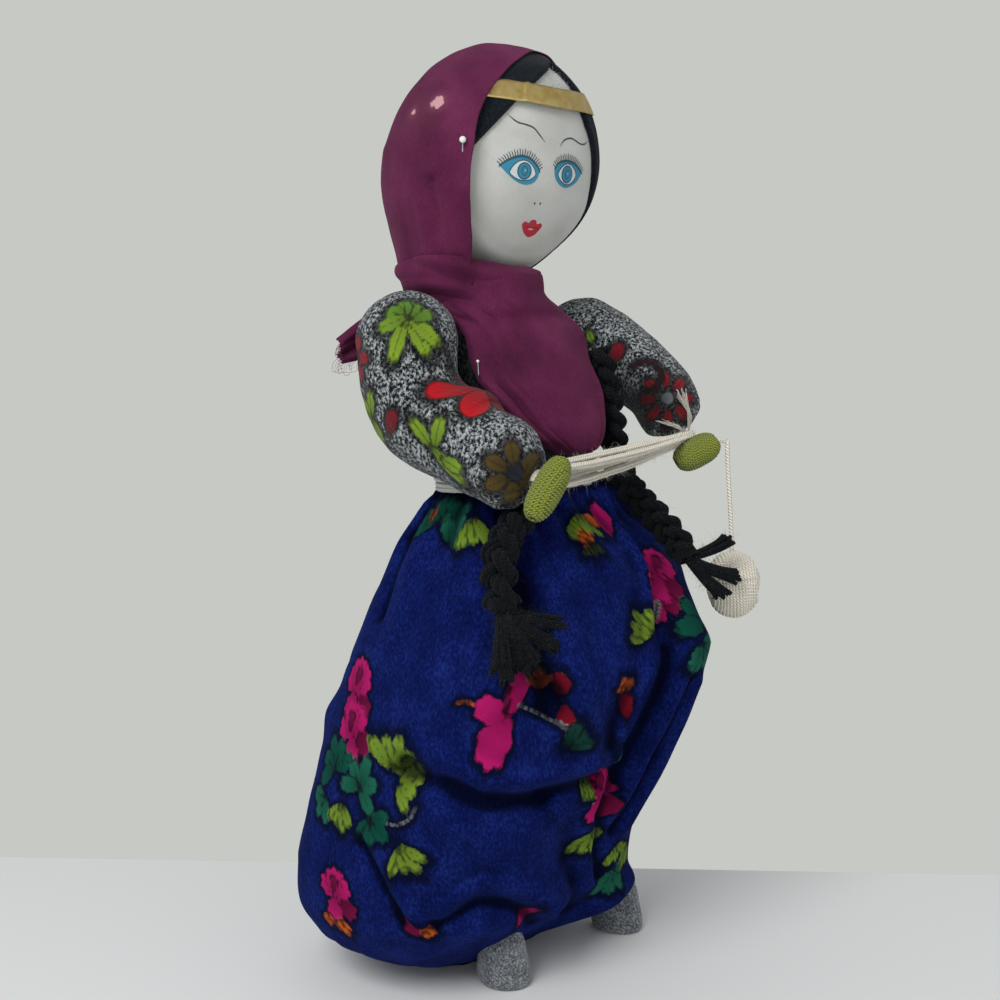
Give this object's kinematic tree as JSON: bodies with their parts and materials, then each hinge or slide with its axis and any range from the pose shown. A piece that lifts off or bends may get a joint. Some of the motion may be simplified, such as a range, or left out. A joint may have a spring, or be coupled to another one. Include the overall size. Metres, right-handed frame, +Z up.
{
  "type": "rag doll",
  "caption": "Handmade stuffed cloth doll in a headscarf, print sleeves and gathered shalwar trousers, yarn wound round its hands and wrists and a ball of yarn hanging from one hand.",
  "frame": {"origin": "on the floor under the middle of the doll's own outline, the hanging strand and ball left out", "axes": "+Z up, the doll faces -Y, +X is the doll's left"},
  "size_m": [0.19, 0.1796, 0.4162],
  "materials": {
    "wire": "bare soft wire",
    "fleece_print": "mottled grey and black fleece with a flower print",
    "fleece_grey": "heather grey fleece",
    "green_yarn": "lime green wool yarn",
    "cream_yarn": "cream wool yarn, fuzzy",
    "stuffed_cotton": "plain calico over stuffing",
    "face_jersey": "smooth white jersey with a painted face",
    "black_felt": "black felt",
    "gold_foil": "gold metallic foil strip",
    "scarf_cotton": "thin burgundy cotton",
    "white_cotton": "white cotton thread",
    "stick_wood": "plain dowel",
    "trouser_flannel": "royal blue brushed flannel with a flower print",
    "black_yarn": "black wool yarn",
    "pin_white": "white glass-like head"
  },
  "bodies": {
    "torso": {"torso": "stuffed_cotton", "bodice": "fleece_print", "neck_stick": "stick_wood", "waist_tie": "white_cotton", "scarf_wrap": "scarf_cotton", "scarf_bib": "scarf_cotton", "scarf_corner": "scarf_cotton", "pin_chest": "pin_white", "pin_shoulder": "pin_white", "trousers_upper": "trouser_flannel", "braid_right": "black_yarn", "braid_left": "black_yarn"},
    "head": {"head": "face_jersey", "hair": "black_felt", "forehead_band": "gold_foil", "scarf_hood": "scarf_cotton", "pin_crown": "pin_white"},
    "arms": {"arm_wire": "wire", "sleeve_right": "fleece_print", "sleeve_left": "fleece_print", "hand_core_right": "green_yarn", "hand_core_left": "green_yarn", "hand_yarn_right": "green_yarn", "hand_yarn_left": "green_yarn", "skein": "cream_yarn"},
    "strand": {"strand": "cream_yarn"},
    "ball": {"ball_core": "cream_yarn", "ball_yarn": "cream_yarn"},
    "legs": {"leg_wire": "wire", "leg_right": "fleece_grey", "leg_left": "fleece_grey", "foot_right": "fleece_grey", "foot_left": "fleece_grey", "trousers_lower": "trouser_flannel"},
    "braid_end_right": {"braid_end_right": "black_yarn", "braid_tie_right": "black_yarn", "tassel_right": "black_yarn"},
    "braid_end_left": {"braid_end_left": "black_yarn", "braid_tie_left": "black_yarn", "tassel_left": "black_yarn"}
  },
  "joints": [
    {"name": "neck_turn", "type": "hinge", "parent": "torso", "child": "head", "pos_m": [0.006, -0.00115, 0.312], "axis": [0, 0, 1], "range_deg": [-25, 25]},
    {"name": "shoulder_swing", "type": "hinge", "parent": "torso", "child": "arms", "pos_m": [0.006, 0.00035, 0.286], "axis": [-1, 0, 0], "range_deg": [0, 40]},
    {"name": "hip_swing", "type": "hinge", "parent": "torso", "child": "legs", "pos_m": [0.006, -0.00515, 0.195], "axis": [1, 0, 0], "range_deg": [-30, 12]},
    {"name": "strand_swing", "type": "hinge", "parent": "arms", "child": "strand", "pos_m": [0.0753, -0.07136, 0.23385], "axis": [0, -1, 0], "range_deg": [0, 60]},
    {"name": "ball_swing", "type": "hinge", "parent": "strand", "child": "ball", "pos_m": [0.0753, -0.07136, 0.18285], "axis": [1, 0, 0], "range_deg": [-12, 12]},
    {"name": "braid_swing_right", "type": "hinge", "parent": "torso", "child": "braid_end_right", "pos_m": [-0.042, -0.05209, 0.20119], "axis": [-1, 0, 0], "range_deg": [0, 25]},
    {"name": "braid_swing_left", "type": "hinge", "parent": "torso", "child": "braid_end_left", "pos_m": [0.03751, -0.06323, 0.1998], "axis": [-1, 0, 0], "range_deg": [0, 25]}
  ]
}
